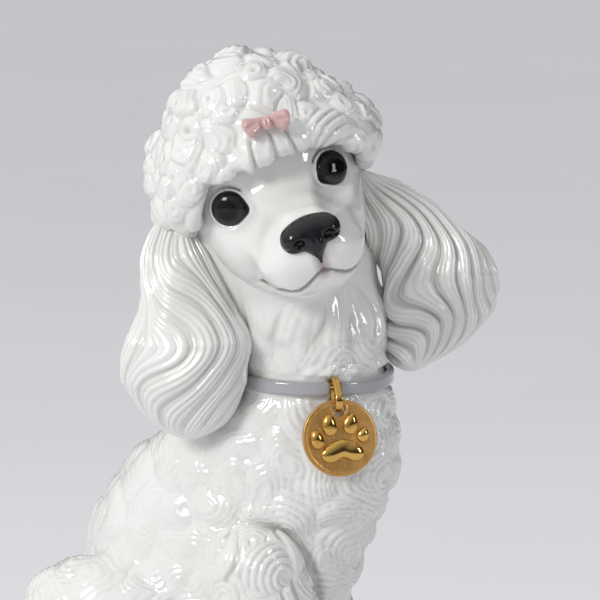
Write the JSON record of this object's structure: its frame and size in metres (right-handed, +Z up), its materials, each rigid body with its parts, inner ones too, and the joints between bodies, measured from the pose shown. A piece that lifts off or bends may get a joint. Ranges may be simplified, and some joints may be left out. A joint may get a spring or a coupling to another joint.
{
  "type": "dog figurine",
  "caption": "Seated glazed porcelain poodle with a curly topknot, long ears, a bow, a collar and a hanging gilded paw-print tag.",
  "frame": {"origin": "on the surface that the figurine stands on, under the middle of its body", "axes": "+Z up, the dog faces -Y, its left side is +X"},
  "size_m": [0.138, 0.2137, 0.3199],
  "materials": {
    "glazed_porcelain": "warm white, high gloss glaze",
    "eye_enamel": "black enamel with a charcoal iris, high gloss",
    "nose_enamel": "near-black slate enamel, glossy",
    "rose_enamel": "dusty pink enamel, glossy",
    "collar_enamel": "mid-grey enamel, glossy",
    "gilt_satin": "satin gilding",
    "gilt_bright": "polished gilding"
  },
  "bodies": {
    "figurine": {"body_shell": "glazed_porcelain", "head_shell": "glazed_porcelain", "topknot": "glazed_porcelain", "ear_right": "glazed_porcelain", "ear_left": "glazed_porcelain", "foreleg_right": "glazed_porcelain", "foreleg_left": "glazed_porcelain", "forepaw_right": "glazed_porcelain", "forepaw_left": "glazed_porcelain", "haunch_right": "glazed_porcelain", "haunch_left": "glazed_porcelain", "hindpaw_right": "glazed_porcelain", "hindpaw_left": "glazed_porcelain", "tail": "glazed_porcelain", "tail_pompom": "glazed_porcelain", "eye_right": "eye_enamel", "eye_left": "eye_enamel", "nose": "nose_enamel", "bow_loop_right": "rose_enamel", "bow_loop_left": "rose_enamel", "bow_knot": "rose_enamel", "collar": "collar_enamel"},
    "bail": {"bail": "gilt_bright"},
    "tag": {"tag_disc": "gilt_satin", "tag_pad": "gilt_bright", "tag_toe_1": "gilt_bright", "tag_toe_2": "gilt_bright", "tag_toe_3": "gilt_bright", "tag_toe_4": "gilt_bright"}
  },
  "joints": [
    {"name": "bail_swing", "type": "hinge", "parent": "figurine", "child": "bail", "pos_m": [-0.02164, -0.06241, 0.18637], "axis": [-0.7193, 0.6947, 0], "range_deg": [0, 75]},
    {"name": "tag_swing", "type": "hinge", "parent": "bail", "child": "tag", "pos_m": [-0.02547, -0.06637, 0.17906], "axis": [-0.7193, 0.6947, 0], "range_deg": [0, 60]}
  ]
}
